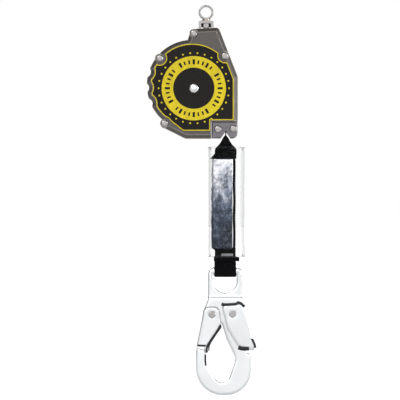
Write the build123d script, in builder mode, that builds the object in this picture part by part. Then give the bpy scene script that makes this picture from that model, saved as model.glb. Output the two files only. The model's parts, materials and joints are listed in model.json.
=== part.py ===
from build123d import *
from math import cos, radians, sin
import os

# Self retracting lifeline: a webbing reel in a two-part case, hung from a swivel eye,
# with a shock pack and a double-locking snap hook on the free end of the webbing.
# Origin: centre of the swivel eye. +Z up, -Y is the front, +X to the right of the front.

os.makedirs("parts", exist_ok=True)

# ---------------------------------------------------------------- driving dimensions
# Swivel eye and yoke
eye_bore_r = 6.25
eye_outer_r = 8.6
eye_thickness = 7.0
eye_bore_chamfer = 0.5
stem_r = 3.2
stem_shoulder_z = 8.95
stem_length = 9.4
yoke_half_width = 8.7
yoke_leg = 2.8
yoke_half_depth = 8.0
yoke_top_z = -9.6
yoke_plate = 2.6
yoke_bottom_z = -38.0
cross_bolt_z = -33.2
cross_bolt_r = 3.0

# Case, in a frame centred on the drum axis
drum_x, drum_z = -14.1, -87.7
case_half = 32.0
case_wall = 3.0
case_bevel = 4.0
case_seam = 0.15
disc_centre = (-1.8, 3.5)
disc_r = 52.0
case_corners = [
    ((0.0, 64.0), 4.0),
    ((25.6, 65.2), 4.2),
    ((44.4, 12.0), 6.0),
    ((44.4, -51.3), 6.0),
    ((-8.0, -50.3), 7.0),
    ((-33.2, -40.4), 4.6),
]
side_bosses = [(-39.0, 34.3)]
side_boss_r = 5.5
grip_first_angle = 164.0
grip_pitch_angle = 19.0
grip_count = 3
grip_r = 7.0
grip_depth = 2.5
screw_points = [(0.0, 62.9), (-39.0, 34.3), (35.5, 37.1), (-33.6, -40.2), (27.7, -46.8), (45.2, -46.3)]
block_screw_points = screw_points[4:]
screw_shank_r = 2.3
screw_head_r = 4.3
post_r = 3.6
boss_r = 5.0
boss_root_y = 27.0

# Webbing and drum
web_width = 25.0
web_pitch = 1.2
web_thickness = 1.1
coil_outer_r = 37.2
coil_turns = 20
coil_inner_r = coil_outer_r - coil_turns * web_pitch - web_thickness
line_x = drum_x + coil_outer_r - web_thickness / 2
flange_r = 42.0
flange_thickness = 1.5
flange_inner_y = 12.9
axle_r = 4.0
bushing_r = 6.0
arbor_r = 8.2
drum_rivet_circle_r = 9.5
drum_rivet_r = 1.2
flange_window_circle_r = 28.0
flange_window_r = 6.0

# Side plates of the frame
plate_inner_y = 19.0
plate_thickness = 2.0
plate_corners = [((14.1, 55.0), 9.0), ((42.8, -20.0), 4.2), ((-26.0, -38.5), 4.2), ((0.0, 0.0), 24.0)]
spacer_points = [(42.8, -20.0), (-26.0, -38.5)]
spacer_r = 2.6
frame_screw_r = 1.5
frame_screw_head_r = 3.0
block_screw_z = 55.0

# Ratchet ring and pawls; angles are clockwise seen from the front, from a pawl's pivot
tooth_count = 12
tooth_tip_r = 36.7
tooth_root_r = 38.8
ring_outer_r = 43.0
tooth_face_angle = 27.0
tooth_tip_angle = 4.0
tooth_slope_angle = 16.0
pawl_pivot_r = 24.0
pawl_pin_r = 2.0
pawl_boss_r = 4.2
pawl_y = (15.1, 18.1)
spring_case_r = 36.0
spring_case_depth = 6.8
spring_pitch = 2.4
spring_turns = 9

# Exit block at the lower right corner of the case
block_left = 20.4
block_top = -38.2
block_gap = 0.4
block_half = 31.0
slot_half_x = 2.2
slot_half_y = 13.5
liner_wall = 1.2
mouth_apex_z = -48.5
mouth_half_x = 6.5
block_bottom = -57.3

# Labels and fasteners of the case
label_thickness = 0.5
label_margin = 4.5
label_right = 45.8
label_bottom = -48.7
label_corner_r = 1.0
label_left_corner_x = -12.0
label_notch_r = 7.4
label_gap = 1.6
shoulder_point = (45.6, 11.0)
shoulder_angle = 20.9
rear_label_centre = (0.0, 0.0)
screw_head_height = 2.6
nut_height = 2.2
axle_head_r = 5.6
axle_head_height = 3.4

# Webbing below the nozzle
swing_z = -141.5
twist_bottom_z = -157.0

# Shock pack
pack_left, pack_right = 7.2, 34.0
pack_top_z, pack_bottom_z = -167.0, -273.0
pack_half_y = 9.0
side_strap = 3.6
wrap_thickness = 0.6
sleeve_left, sleeve_right = 2.2, 44.7
sleeve_top_z, sleeve_bottom_z = -154.7, -281.0
sleeve_half_y = 12.0
sleeve_wall = 0.6

# Snap hook, in a frame centred on the bar that the webbing loop goes round
hook_x, hook_z = 22.0, -297.5
bar_r = 5.0
loop_gap = 0.4
loop_wall = 1.3
hook_half_y = 6.0
eye_half_y = 4.5
hook_edge_r = 1.2
hook_eye_half = 13.2
hook_eye_bottom = -24.8
gate_pivot = (-15.1, -49.8)
lever_pivot = (8.6, -49.2)
rivet_r = 2.5
gate_wall_y = (6.25, 7.55)
lever_wall_y = (7.8, 9.2)


# ---------------------------------------------------------------- frames and outlines
def at_y(y):
    """Plane parallel to the front, through Y = y; its normal points forwards."""
    return Plane.XZ.offset(-y)


def drum_plane(y):
    """Front-facing plane at Y = y, centred on the drum axis."""
    return Plane(origin=(drum_x, y, drum_z), x_dir=(1, 0, 0), z_dir=(0, -1, 0))


def hook_plane(y):
    """Front-facing plane at Y = y, centred on the hook's bar."""
    return Plane(origin=(hook_x, y, hook_z), x_dir=(1, 0, 0), z_dir=(0, -1, 0))


def polar(radius, angle):
    """Point at a radius and an angle in degrees."""
    return (radius * cos(radians(angle)), radius * sin(radians(angle)))


def circles(points, radius):
    """Equal circles at a list of points."""
    with Locations(*points):
        Circle(radius)


def hull_of(corners, inset=0.0):
    """Hull of circles, each given as (centre, radius), moved inwards by inset."""
    for centre, radius in corners:
        with Locations(centre):
            Circle(radius - inset)
    make_hull()


def case_outline(inset):
    """Outline of the case about the drum axis, moved inwards by inset."""
    hull_of(case_corners, inset)
    with Locations(disc_centre):
        Circle(disc_r - inset)
    circles(side_bosses, side_boss_r - inset)
    grip_centre_r = disc_r + grip_r - grip_depth
    for k in range(grip_count):
        x, z = polar(grip_centre_r, grip_first_angle + k * grip_pitch_angle)
        with Locations((disc_centre[0] + x, disc_centre[1] + z)):
            Circle(grip_r + inset, mode=Mode.SUBTRACT)


def block_corner(gap):
    """Rectangle over the corner of the case that the exit block fills, grown by gap."""
    left, top = block_left - gap, block_top + gap
    with Locations((left, top)):
        Rectangle(60, 60, align=(Align.MIN, Align.MAX))


def half_shell(front):
    """One half of the case, closed at its outer face, with screw posts inside."""
    side = 1 if front else -1
    seam = drum_plane(-side * case_seam)
    depth = side * (case_half - case_seam)
    inner_depth = depth - side * case_wall
    with BuildPart() as shell:
        with BuildSketch(seam):
            case_outline(0)
        extrude(amount=depth)
        outer_face = faces().sort_by(Axis.Y)[0 if front else -1]
        chamfer(outer_face.outer_wire().edges(), case_bevel)
        with BuildSketch(seam):
            case_outline(case_wall)
        extrude(amount=inner_depth, mode=Mode.SUBTRACT)
        with BuildSketch(drum_plane(-side * boss_root_y)):
            circles(screw_points[:4], boss_r)
        extrude(amount=side * (case_half - boss_root_y))
        with BuildSketch(seam):
            circles(screw_points[:4], post_r)
        extrude(amount=inner_depth + side * case_wall / 2)
        with BuildSketch(seam):
            block_corner(block_gap)
        extrude(amount=2 * depth, mode=Mode.SUBTRACT)
        with BuildSketch(seam):
            circles(screw_points[:4], screw_shank_r + 0.1)
            Circle(axle_r + 0.1)
        extrude(amount=2 * depth, mode=Mode.SUBTRACT)
        with BuildSketch(Plane.XY.offset(yoke_top_z)):
            Rectangle(2 * yoke_half_width + 1, 2 * yoke_half_depth + 1)
        extrude(amount=-20, mode=Mode.SUBTRACT)
    return shell


# ---------------------------------------------------------------- swivel eye
with BuildPart() as swivel_eye:
    with BuildSketch(at_y(eye_thickness / 2)):
        Circle(eye_outer_r)
    extrude(amount=eye_thickness)
    rims = edges().filter_by(GeomType.CIRCLE)
    fillet(rims, 1.1)
    with BuildSketch(Plane.XY.offset(-stem_shoulder_z)):
        Circle(stem_r + 1.2)
    extrude(amount=2.0)
    with BuildSketch(at_y(eye_thickness)):
        Circle(eye_bore_r)
    extrude(amount=2 * eye_thickness, mode=Mode.SUBTRACT)
    bore_rims = edges().filter_by(GeomType.CIRCLE).filter_by(lambda e: abs(e.radius - eye_bore_r) < 0.01)
    chamfer(bore_rims, eye_bore_chamfer)
    with BuildSketch(Plane.XY.offset(-stem_shoulder_z)):
        Circle(stem_r)
    extrude(amount=-stem_length)
swivel_eye.part.label = "swivel_eye"
export_step(swivel_eye.part, "parts/swivel_eye.step")

with BuildPart() as swivel_nut:
    with BuildSketch(Plane.XY.offset(-12.6)):
        RegularPolygon(5.0, 6, major_radius=False)
        Circle(stem_r + 0.02, mode=Mode.SUBTRACT)
    extrude(amount=-4.6)
swivel_nut.part.label = "swivel_nut"
export_step(swivel_nut.part, "parts/swivel_nut.step")

with BuildPart() as swivel_washer:
    with BuildSketch(Plane.XY.offset(-9.0)):
        Circle(5.6)
        Circle(stem_r + 0.06, mode=Mode.SUBTRACT)
    extrude(amount=-0.55)
swivel_washer.part.label = "swivel_washer"
export_step(swivel_washer.part, "parts/swivel_washer.step")

# ---------------------------------------------------------------- yoke and anchor block
with BuildPart() as anchor_yoke:
    with BuildSketch(at_y(yoke_half_depth)):
        with Locations((0, yoke_top_z)):
            Rectangle(2 * yoke_half_width, yoke_top_z - yoke_bottom_z, align=(Align.CENTER, Align.MAX))
        with Locations((0, yoke_top_z - yoke_plate)):
            Rectangle(2 * (yoke_half_width - yoke_leg), 60, align=(Align.CENTER, Align.MAX),
                      mode=Mode.SUBTRACT)
    extrude(amount=2 * yoke_half_depth)
    fillet(edges().filter_by(Axis.Y).group_by(Axis.Z)[-1], 2.0)
    with BuildSketch(Plane.XY.offset(yoke_top_z)):
        Circle(stem_r + 0.05)
    extrude(amount=-2 * yoke_plate, mode=Mode.SUBTRACT)
    with BuildSketch(Plane.YZ.offset(-15)):
        with Locations((0, cross_bolt_z)):
            Circle(cross_bolt_r + 0.02)
    extrude(amount=30, mode=Mode.SUBTRACT)
anchor_yoke.part.label = "anchor_yoke"
export_step(anchor_yoke.part, "parts/anchor_yoke.step")

with BuildPart() as anchor_block:
    with BuildSketch(at_y(plate_inner_y)):
        with Locations((0, yoke_bottom_z)):
            Rectangle(11.4, 14, align=(Align.CENTER, Align.MIN))
    extrude(amount=2 * plate_inner_y)
    with BuildSketch(Plane.YZ.offset(-15)):
        with Locations((0, cross_bolt_z)):
            Circle(cross_bolt_r + 0.02)
    extrude(amount=30, mode=Mode.SUBTRACT)
    with BuildSketch(at_y(plate_inner_y)):
        with Locations((0, drum_z + block_screw_z)):
            Circle(frame_screw_r + 0.05)
    extrude(amount=2 * plate_inner_y, mode=Mode.SUBTRACT)
anchor_block.part.label = "anchor_block"
export_step(anchor_block.part, "parts/anchor_block.step")

with BuildPart() as yoke_cross_bolt:
    with BuildSketch(Plane.YZ.offset(-yoke_half_width)):
        with Locations((0, cross_bolt_z)):
            Circle(cross_bolt_r)
    extrude(amount=2 * yoke_half_width + 2)
    with BuildSketch(Plane.YZ.offset(-yoke_half_width)):
        with Locations((0, cross_bolt_z)):
            RegularPolygon(4.1, 6, major_radius=False)
    extrude(amount=-2.0)
    with BuildSketch(Plane.YZ.offset(yoke_half_width)):
        with Locations((0, cross_bolt_z)):
            RegularPolygon(4.1, 6, major_radius=False)
    extrude(amount=2.4)
yoke_cross_bolt.part.label = "yoke_cross_bolt"
export_step(yoke_cross_bolt.part, "parts/yoke_cross_bolt.step")

# ---------------------------------------------------------------- case
front_cover = half_shell(front=True)
front_cover.part.label = "front_cover"
export_step(front_cover.part, "parts/front_cover.step")

rear_cover = half_shell(front=False)
rear_cover.part.label = "rear_cover"
export_step(rear_cover.part, "parts/rear_cover.step")

def case_label():
    """Label outline on the front of the case, notched round the screws and the grips."""
    corner_x, corner_z = label_right - label_corner_r, label_bottom + label_corner_r
    hull_of([(disc_centre, disc_r - label_margin), ((corner_x, shoulder_point[1]), label_corner_r),
             ((corner_x, corner_z), label_corner_r), ((label_left_corner_x, corner_z), label_corner_r)])
    with Locations(shoulder_point):
        Rectangle(40, 140, rotation=shoulder_angle, align=(Align.MIN, Align.CENTER), mode=Mode.SUBTRACT)
    for x, z in screw_points[:4]:
        with Locations((x, z)):
            Circle(label_notch_r, mode=Mode.SUBTRACT)
    with Locations((block_left - label_gap, block_top + label_gap)):
        Rectangle(60, 60, align=(Align.MIN, Align.MAX), mode=Mode.SUBTRACT)
    grip_centre_r = disc_r + grip_r - grip_depth
    for k in range(grip_count):
        x, z = polar(grip_centre_r, grip_first_angle + k * grip_pitch_angle)
        with Locations((disc_centre[0] + x, disc_centre[1] + z)):
            Circle(grip_r + label_margin, mode=Mode.SUBTRACT)
    Circle(axle_r + 1.8, mode=Mode.SUBTRACT)


with BuildPart() as front_label:
    with BuildSketch(drum_plane(-case_half)):
        case_label()
    extrude(amount=label_thickness)
front_label.part.label = "front_label"
export_step(front_label.part, "parts/front_label.step")

with BuildPart() as rear_label:
    with BuildSketch(drum_plane(case_half)):
        with Locations(rear_label_centre):
            RectangleRounded(62, 54, 5)
        Circle(axle_r + 4.5, mode=Mode.SUBTRACT)
    extrude(amount=-label_thickness)
rear_label.part.label = "rear_label"
export_step(rear_label.part, "parts/rear_label.step")

with BuildPart() as exit_block:
    with BuildSketch(drum_plane(block_half)):
        case_outline(0.3)
        with Locations((block_left, block_top)):
            Rectangle(60, 60, align=(Align.MIN, Align.MAX), mode=Mode.INTERSECT)
    extrude(amount=2 * block_half)
    chamfer(faces().sort_by(Axis.Y)[0].outer_wire().edges(), 1.2)
    chamfer(faces().sort_by(Axis.Y)[-1].outer_wire().edges(), 1.2)
    liner_x, liner_y = slot_half_x + liner_wall, slot_half_y + liner_wall
    with BuildSketch(Plane.XY.offset(drum_z + block_top)):
        with Locations((line_x, 0)):
            Rectangle(2 * liner_x, 2 * liner_y)
    extrude(amount=-60, mode=Mode.SUBTRACT)
    with BuildSketch(drum_plane(block_half + 1)):
        with BuildLine():
            web_offset = line_x - drum_x
            Polyline((web_offset, mouth_apex_z), (web_offset - mouth_half_x, block_bottom - 1),
                     (web_offset + mouth_half_x, block_bottom - 1), close=True)
        make_face()
    extrude(amount=2 * block_half + 2, mode=Mode.SUBTRACT)
    with BuildSketch(drum_plane(block_half + 1)):
        circles(block_screw_points, screw_shank_r + 0.1)
    extrude(amount=2 * block_half + 2, mode=Mode.SUBTRACT)
exit_block.part.label = "exit_block"
export_step(exit_block.part, "parts/exit_block.step")

with BuildPart() as web_guide:
    with BuildSketch(Plane.XY.offset(drum_z + block_top)):
        with Locations((line_x, 0)):
            Rectangle(2 * liner_x - 0.04, 2 * liner_y - 0.04)
            Rectangle(2 * slot_half_x, 2 * slot_half_y, mode=Mode.SUBTRACT)
    extrude(amount=-(block_top - mouth_apex_z + 3.0))
    with BuildSketch(drum_plane(block_half + 1)):
        with BuildLine():
            Polyline((web_offset, mouth_apex_z), (web_offset - mouth_half_x, block_bottom - 1),
                     (web_offset + mouth_half_x, block_bottom - 1), close=True)
        make_face()
    extrude(amount=2 * block_half + 2, mode=Mode.SUBTRACT)
web_guide.part.label = "web_guide"
export_step(web_guide.part, "parts/web_guide.step")

with BuildPart() as cover_screws:
    with BuildSketch(drum_plane(case_half + 2.4)):
        circles(screw_points, screw_shank_r)
    extrude(amount=2 * case_half + 2.4)
    for x, z in screw_points:
        face_y = -block_half if (x, z) in block_screw_points else -case_half
        with BuildSketch(drum_plane(face_y)):
            with Locations((x, z)):
                Circle(screw_head_r)
        extrude(amount=screw_head_height)
    head_rims = edges().filter_by(GeomType.CIRCLE).filter_by(lambda e: abs(e.radius - screw_head_r) < 0.01)
    fillet(head_rims.filter_by(lambda e: e.center().Y < -case_half - 0.5), screw_head_height * 0.8)
cover_screws.part.label = "cover_screws"
export_step(cover_screws.part, "parts/cover_screws.step")

with BuildPart() as cover_nuts:
    for x, z in screw_points:
        face_y = block_half if (x, z) in block_screw_points else case_half
        with BuildSketch(drum_plane(face_y)):
            with Locations((x, z)):
                RegularPolygon(3.9, 6, major_radius=False)
                Circle(screw_shank_r + 0.02, mode=Mode.SUBTRACT)
        extrude(amount=-nut_height)
cover_nuts.part.label = "cover_nuts"
export_step(cover_nuts.part, "parts/cover_nuts.step")

# ---------------------------------------------------------------- frame inside the case


def side_plate(inner_y, front):
    """One steel side plate; the front one has a wide hole for the spring arbor."""
    with BuildPart() as plate:
        with BuildSketch(drum_plane(inner_y)):
            hull_of(plate_corners)
            Circle(arbor_r + 0.8 if front else axle_r + 0.1, mode=Mode.SUBTRACT)
            with Locations((-drum_x, block_screw_z), *spacer_points):
                Circle(frame_screw_r + 0.05, mode=Mode.SUBTRACT)
        extrude(amount=plate_thickness if front else -plate_thickness)
    return plate


front_plate = side_plate(-plate_inner_y, front=True)
front_plate.part.label = "front_plate"
export_step(front_plate.part, "parts/front_plate.step")

rear_plate = side_plate(plate_inner_y, front=False)
rear_plate.part.label = "rear_plate"
export_step(rear_plate.part, "parts/rear_plate.step")

with BuildPart() as frame_spacers:
    with BuildSketch(drum_plane(plate_inner_y)):
        circles(spacer_points, spacer_r)
        with Locations(*spacer_points):
            Circle(frame_screw_r + 0.05, mode=Mode.SUBTRACT)
    extrude(amount=2 * plate_inner_y)
frame_spacers.part.label = "frame_spacers"
export_step(frame_spacers.part, "parts/frame_spacers.step")

plate_outer_y = plate_inner_y + plate_thickness
with BuildPart() as frame_screws:
    for side in (1, -1):
        with BuildSketch(drum_plane(side * plate_outer_y)):
            with Locations((-drum_x, block_screw_z), *spacer_points):
                Circle(frame_screw_r)
        extrude(amount=side * 10.0)
        with BuildSketch(drum_plane(side * plate_outer_y)):
            with Locations((-drum_x, block_screw_z), *spacer_points):
                Circle(frame_screw_head_r)
        extrude(amount=-side * 1.8)
frame_screws.part.label = "frame_screws"
export_step(frame_screws.part, "parts/frame_screws.step")

with BuildPart() as axle:
    with BuildSketch(drum_plane(case_half + 6.5)):
        Circle(axle_r)
    extrude(amount=2 * case_half + 6.5)
    with BuildSketch(drum_plane(-case_half)):
        Circle(axle_head_r)
    extrude(amount=axle_head_height)
    fillet(edges().group_by(Axis.Y)[0], axle_head_height * 0.75)
axle.part.label = "axle"
export_step(axle.part, "parts/axle.step")

with BuildPart() as axle_nut:
    with BuildSketch(drum_plane(case_half)):
        RegularPolygon(6.5, 6, major_radius=False)
        Circle(axle_r + 0.02, mode=Mode.SUBTRACT)
    extrude(amount=-5.0)
axle_nut.part.label = "axle_nut"
export_step(axle_nut.part, "parts/axle_nut.step")

with BuildPart() as ratchet_ring:
    with BuildSketch(drum_plane(plate_inner_y)):
        Circle(ring_outer_r)
        Circle(tooth_root_r, mode=Mode.SUBTRACT)
        for k in range(tooth_count):
            face = 90 - tooth_face_angle - k * 360 / tooth_count
            with BuildLine():
                Polyline(polar(tooth_root_r + 0.3, face), polar(tooth_tip_r, face),
                         polar(tooth_tip_r, face - tooth_tip_angle),
                         polar(tooth_root_r + 0.3, face - tooth_slope_angle), close=True)
            make_face()
    extrude(amount=plate_inner_y - 14.9)
ratchet_ring.part.label = "ratchet_ring"
export_step(ratchet_ring.part, "parts/ratchet_ring.step")

with BuildPart() as spring_case:
    with BuildSketch(drum_plane(-plate_outer_y)):
        Circle(spring_case_r)
        Circle(arbor_r + 0.8, mode=Mode.SUBTRACT)
    extrude(amount=spring_case_depth)
    with BuildSketch(drum_plane(-plate_outer_y - 1.0)):
        Circle(spring_case_r - 2.0)
    extrude(amount=spring_case_depth, mode=Mode.SUBTRACT)
spring_case.part.label = "spring_case"
export_step(spring_case.part, "parts/spring_case.step")

with BuildPart() as spring_case_cover:
    with BuildSketch(drum_plane(-plate_outer_y - spring_case_depth)):
        Circle(spring_case_r)
        Circle(axle_r + 0.1, mode=Mode.SUBTRACT)
    extrude(amount=1.0)
spring_case_cover.part.label = "spring_case_cover"
export_step(spring_case_cover.part, "parts/spring_case_cover.step")

# ---------------------------------------------------------------- drum


def wound_strip(y_back, width, inner_r, turns, pitch, thickness):
    """Strip wound about the drum axis, as half circles about two centres half a pitch apart."""
    end = turns * pitch
    with BuildPart() as coil:
        with BuildSketch(drum_plane(y_back)):
            with BuildLine():
                for k in range(2 * turns):
                    centre = (0 if k % 2 == 0 else pitch / 2, 0)
                    CenterArc(centre, inner_r + k * pitch / 2, 180 * (k % 2), 180)
                    CenterArc(centre, inner_r + thickness + k * pitch / 2, 180 * (k % 2), 180)
                Line((inner_r, 0), (inner_r + thickness, 0))
                Line((inner_r + end, 0), (inner_r + end + thickness, 0))
            make_face()
        extrude(amount=width)
    return coil


with BuildPart() as drum_hub:
    with BuildSketch(drum_plane(flange_inner_y)):
        Circle(coil_inner_r - 0.2)
        Circle(bushing_r + 0.01, mode=Mode.SUBTRACT)
        with PolarLocations(drum_rivet_circle_r, 3):
            Circle(drum_rivet_r + 0.02, mode=Mode.SUBTRACT)
    extrude(amount=2 * flange_inner_y)
drum_hub.part.label = "drum_hub"
export_step(drum_hub.part, "parts/drum_hub.step")

with BuildPart() as drum_flange_front:
    with BuildSketch(drum_plane(-flange_inner_y)):
        Circle(flange_r)
        Circle(bushing_r + 0.01, mode=Mode.SUBTRACT)
        with PolarLocations(flange_window_circle_r, 6):
            Circle(flange_window_r, mode=Mode.SUBTRACT)
        with PolarLocations(drum_rivet_circle_r, 3):
            Circle(drum_rivet_r + 0.02, mode=Mode.SUBTRACT)
    extrude(amount=flange_thickness)
drum_flange_front.part.label = "drum_flange_front"
export_step(drum_flange_front.part, "parts/drum_flange_front.step")

with BuildPart() as drum_flange_rear:
    with BuildSketch(drum_plane(flange_inner_y + flange_thickness)):
        Circle(flange_r)
        Circle(bushing_r + 0.01, mode=Mode.SUBTRACT)
        with PolarLocations(drum_rivet_circle_r, 3):
            Circle(drum_rivet_r + 0.02, mode=Mode.SUBTRACT)
        with PolarLocations(pawl_pivot_r, 2, start_angle=90):
            Circle(pawl_pin_r + 0.01, mode=Mode.SUBTRACT)
    extrude(amount=flange_thickness)
drum_flange_rear.part.label = "drum_flange_rear"
export_step(drum_flange_rear.part, "parts/drum_flange_rear.step")

with BuildPart() as drum_rivets:
    with BuildSketch(drum_plane(flange_inner_y + flange_thickness)):
        with PolarLocations(drum_rivet_circle_r, 3):
            Circle(drum_rivet_r)
    extrude(amount=2 * (flange_inner_y + flange_thickness))
drum_rivets.part.label = "drum_rivets"
export_step(drum_rivets.part, "parts/drum_rivets.step")

flange_outer_y = flange_inner_y + flange_thickness
with BuildPart() as drum_bushings:
    for rear_y in (flange_outer_y, -flange_outer_y + 10):
        with BuildSketch(drum_plane(rear_y)):
            Circle(bushing_r)
            Circle(axle_r + 0.05, mode=Mode.SUBTRACT)
        extrude(amount=10)
drum_bushings.part.label = "drum_bushings"
export_step(drum_bushings.part, "parts/drum_bushings.step")

arbor_front_y = -plate_outer_y - spring_case_depth + 0.4
with BuildPart() as spring_arbor:
    with BuildSketch(drum_plane(-flange_outer_y)):
        Circle(arbor_r)
        Circle(axle_r + 0.06, mode=Mode.SUBTRACT)
    extrude(amount=-flange_outer_y - arbor_front_y)
spring_arbor.part.label = "spring_arbor"
export_step(spring_arbor.part, "parts/spring_arbor.step")

web_coil = wound_strip(web_width / 2, web_width, coil_inner_r, coil_turns, web_pitch, web_thickness)
web_coil.part.label = "web_coil"
export_step(web_coil.part, "parts/web_coil.step")

spring_y = -plate_outer_y - 1.3
power_spring = wound_strip(spring_y, spring_case_depth - 1.8, arbor_r + 0.3, spring_turns, spring_pitch, 0.5)
power_spring.part.label = "power_spring"
export_step(power_spring.part, "parts/power_spring.step")

pawl_angles = (90, 270)
with BuildPart() as pawl_pins:
    with BuildSketch(drum_plane(pawl_y[1] + 0.5)):
        with PolarLocations(pawl_pivot_r, 2, start_angle=90):
            Circle(pawl_pin_r)
    extrude(amount=pawl_y[1] + 0.5 - flange_inner_y)
pawl_pins.part.label = "pawl_pins"
export_step(pawl_pins.part, "parts/pawl_pins.step")


def pawl(angle):
    """Ratchet pawl whose pivot lies at the given angle, its tip a quarter turn clockwise."""
    pivot = polar(pawl_pivot_r, angle)
    outward, forward = polar(1, angle), polar(1, angle - 90)

    def place(u, v):
        return (pivot[0] + u * outward[0] + v * forward[0], pivot[1] + u * outward[1] + v * forward[1])

    with BuildPart() as lever:
        with BuildSketch(drum_plane(pawl_y[1])):
            with BuildLine():
                Polyline(place(pawl_boss_r, 0), place(4.0, 18.1), place(0.87, 14.86),
                         place(-1.6, 13.0), place(-pawl_boss_r, 0), close=True)
            make_face()
            with Locations(pivot):
                Circle(pawl_boss_r)
                Circle(pawl_pin_r + 0.05, mode=Mode.SUBTRACT)
        extrude(amount=pawl_y[1] - pawl_y[0])
    return lever


pawl_1 = pawl(pawl_angles[0])
pawl_1.part.label = "pawl_1"
export_step(pawl_1.part, "parts/pawl_1.step")

pawl_2 = pawl(pawl_angles[1])
pawl_2.part.label = "pawl_2"
export_step(pawl_2.part, "parts/pawl_2.step")

with BuildPart() as pawl_springs:
    for angle in pawl_angles:
        foot = (polar(22.0, angle + 28), polar(27.6, angle + 10))
        with BuildSketch(drum_plane(pawl_y[1] - 0.5)):
            with Locations(foot[0]):
                Circle(1.4)
            with BuildLine():
                Polyline(foot[0], foot[1], (foot[1][0] * 1.02, foot[1][1] * 1.02),
                         (foot[0][0] * 1.03, foot[0][1] * 1.03), close=True)
            make_face()
        extrude(amount=pawl_y[1] - 0.5 - flange_outer_y)
pawl_springs.part.label = "pawl_springs"
export_step(pawl_springs.part, "parts/pawl_springs.step")

# ---------------------------------------------------------------- webbing and shock pack
with BuildPart() as lifeline_web:
    with BuildSketch(Plane.XY.offset(drum_z - 10.5)):
        with Locations((line_x, 0)):
            Rectangle(web_thickness, web_width)
    extrude(amount=swing_z + 0.1 - (drum_z - 10.5))
lifeline_web.part.label = "lifeline_web"
export_step(lifeline_web.part, "parts/lifeline_web.step")

twist_stations = [(swing_z - 0.1, 24.0, 0), (-145.5, 20.0, 12), (-149.5, 18.0, 38), (-153.0, 20.0, 65),
                  (twist_bottom_z, 23.0, 90)]
with BuildPart() as twisted_web:
    for z, width, turn in twist_stations:
        with BuildSketch(Plane.XY.offset(z)):
            with Locations((line_x, 0)):
                Rectangle(2.2, width, rotation=turn)
    loft(ruled=True)
    with BuildSketch(Plane.XY.offset(twist_bottom_z)):
        with Locations((line_x, 0)):
            Rectangle(23.0, 2.2)
    extrude(amount=pack_top_z + 0.1 - twist_bottom_z)
twisted_web.part.label = "twisted_web"
export_step(twisted_web.part, "parts/twisted_web.step")

pack_height = pack_top_z - pack_bottom_z
pack_right_core = pack_right - side_strap
with BuildPart() as tear_web_core:
    with BuildSketch(Plane.XY.offset(pack_top_z)):
        with Locations((pack_left + wrap_thickness, 0)):
            Rectangle(pack_right_core - pack_left - wrap_thickness, 2 * (pack_half_y - wrap_thickness),
                      align=(Align.MIN, Align.CENTER))
    extrude(amount=-pack_height)
    fillet(edges().filter_by(Axis.X), 3.0)
tear_web_core.part.label = "tear_web_core"
export_step(tear_web_core.part, "parts/tear_web_core.step")

with BuildPart() as side_web:
    with BuildSketch(Plane.XY.offset(pack_top_z)):
        with Locations((pack_right_core + 0.1, 0)):
            Rectangle(side_strap - 0.1, 2 * pack_half_y - 1.0, align=(Align.MIN, Align.CENTER))
    extrude(amount=-pack_height)
    fillet(edges().filter_by(Axis.Z), 1.2)
side_web.part.label = "side_web"
export_step(side_web.part, "parts/side_web.step")

with BuildPart() as pack_wrap:
    with BuildSketch(Plane.XY.offset(pack_top_z - 1.5)):
        with Locations((pack_left, 0)):
            Rectangle(pack_right_core - pack_left, 2 * pack_half_y, align=(Align.MIN, Align.CENTER))
        with Locations((pack_left + wrap_thickness, 0)):
            Rectangle(60, 2 * (pack_half_y - wrap_thickness), align=(Align.MIN, Align.CENTER),
                      mode=Mode.SUBTRACT)
    extrude(amount=-(pack_height - 3.0))
pack_wrap.part.label = "pack_wrap"
export_step(pack_wrap.part, "parts/pack_wrap.step")

with BuildPart() as clear_sleeve:
    sleeve_centre = (sleeve_left + sleeve_right) / 2
    sleeve_width = sleeve_right - sleeve_left
    with BuildSketch(Plane.XY.offset(sleeve_top_z)):
        with Locations((sleeve_centre, 0)):
            RectangleRounded(sleeve_width, 2 * sleeve_half_y, 8)
            RectangleRounded(sleeve_width - 2 * sleeve_wall, 2 * (sleeve_half_y - sleeve_wall),
                             8 - sleeve_wall, mode=Mode.SUBTRACT)
    extrude(amount=sleeve_bottom_z - sleeve_top_z)
clear_sleeve.part.label = "clear_sleeve"
export_step(clear_sleeve.part, "parts/clear_sleeve.step")

loop_inner_r = bar_r + loop_gap
loop_outer_r = loop_inner_r + loop_wall
loop_top_z = 11.0
with BuildPart() as lower_strap:
    with BuildSketch(Plane.XY.offset(pack_bottom_z - 0.1)):
        with Locations((hook_x - 0.4, 0)):
            Rectangle(22.0, 3.0)
    extrude(amount=hook_z + loop_top_z - (pack_bottom_z - 0.1))
lower_strap.part.label = "lower_strap"
export_step(lower_strap.part, "parts/lower_strap.step")

with BuildPart() as hook_loop:
    with BuildSketch(Plane(origin=(hook_x - web_width / 2, 0, hook_z), x_dir=(0, 1, 0), z_dir=(1, 0, 0))):
        hull_of([((0, 0), loop_outer_r), ((0, loop_top_z - 1.9), 1.7)])
        Circle(loop_inner_r, mode=Mode.SUBTRACT)
    extrude(amount=web_width)
hook_loop.part.label = "hook_loop"
export_step(hook_loop.part, "parts/hook_loop.step")

with BuildPart() as loop_keeper:
    with BuildSketch(Plane.XY.offset(hook_z + loop_top_z + 0.2)):
        with Locations((hook_x - 0.4, 0)):
            RectangleRounded(27.0, 6.4, 2.0)
            Rectangle(22.4, 3.4, mode=Mode.SUBTRACT)
    extrude(amount=6.0)
    with BuildSketch(Plane.XY.offset(hook_z + loop_top_z + 0.2)):
        with Locations((hook_x - 0.4 + 13.0, 0)):
            Rectangle(3.6, 3.0, align=(Align.MIN, Align.CENTER))
    extrude(amount=5.0)
loop_keeper.part.label = "loop_keeper"
export_step(loop_keeper.part, "parts/loop_keeper.step")

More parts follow.
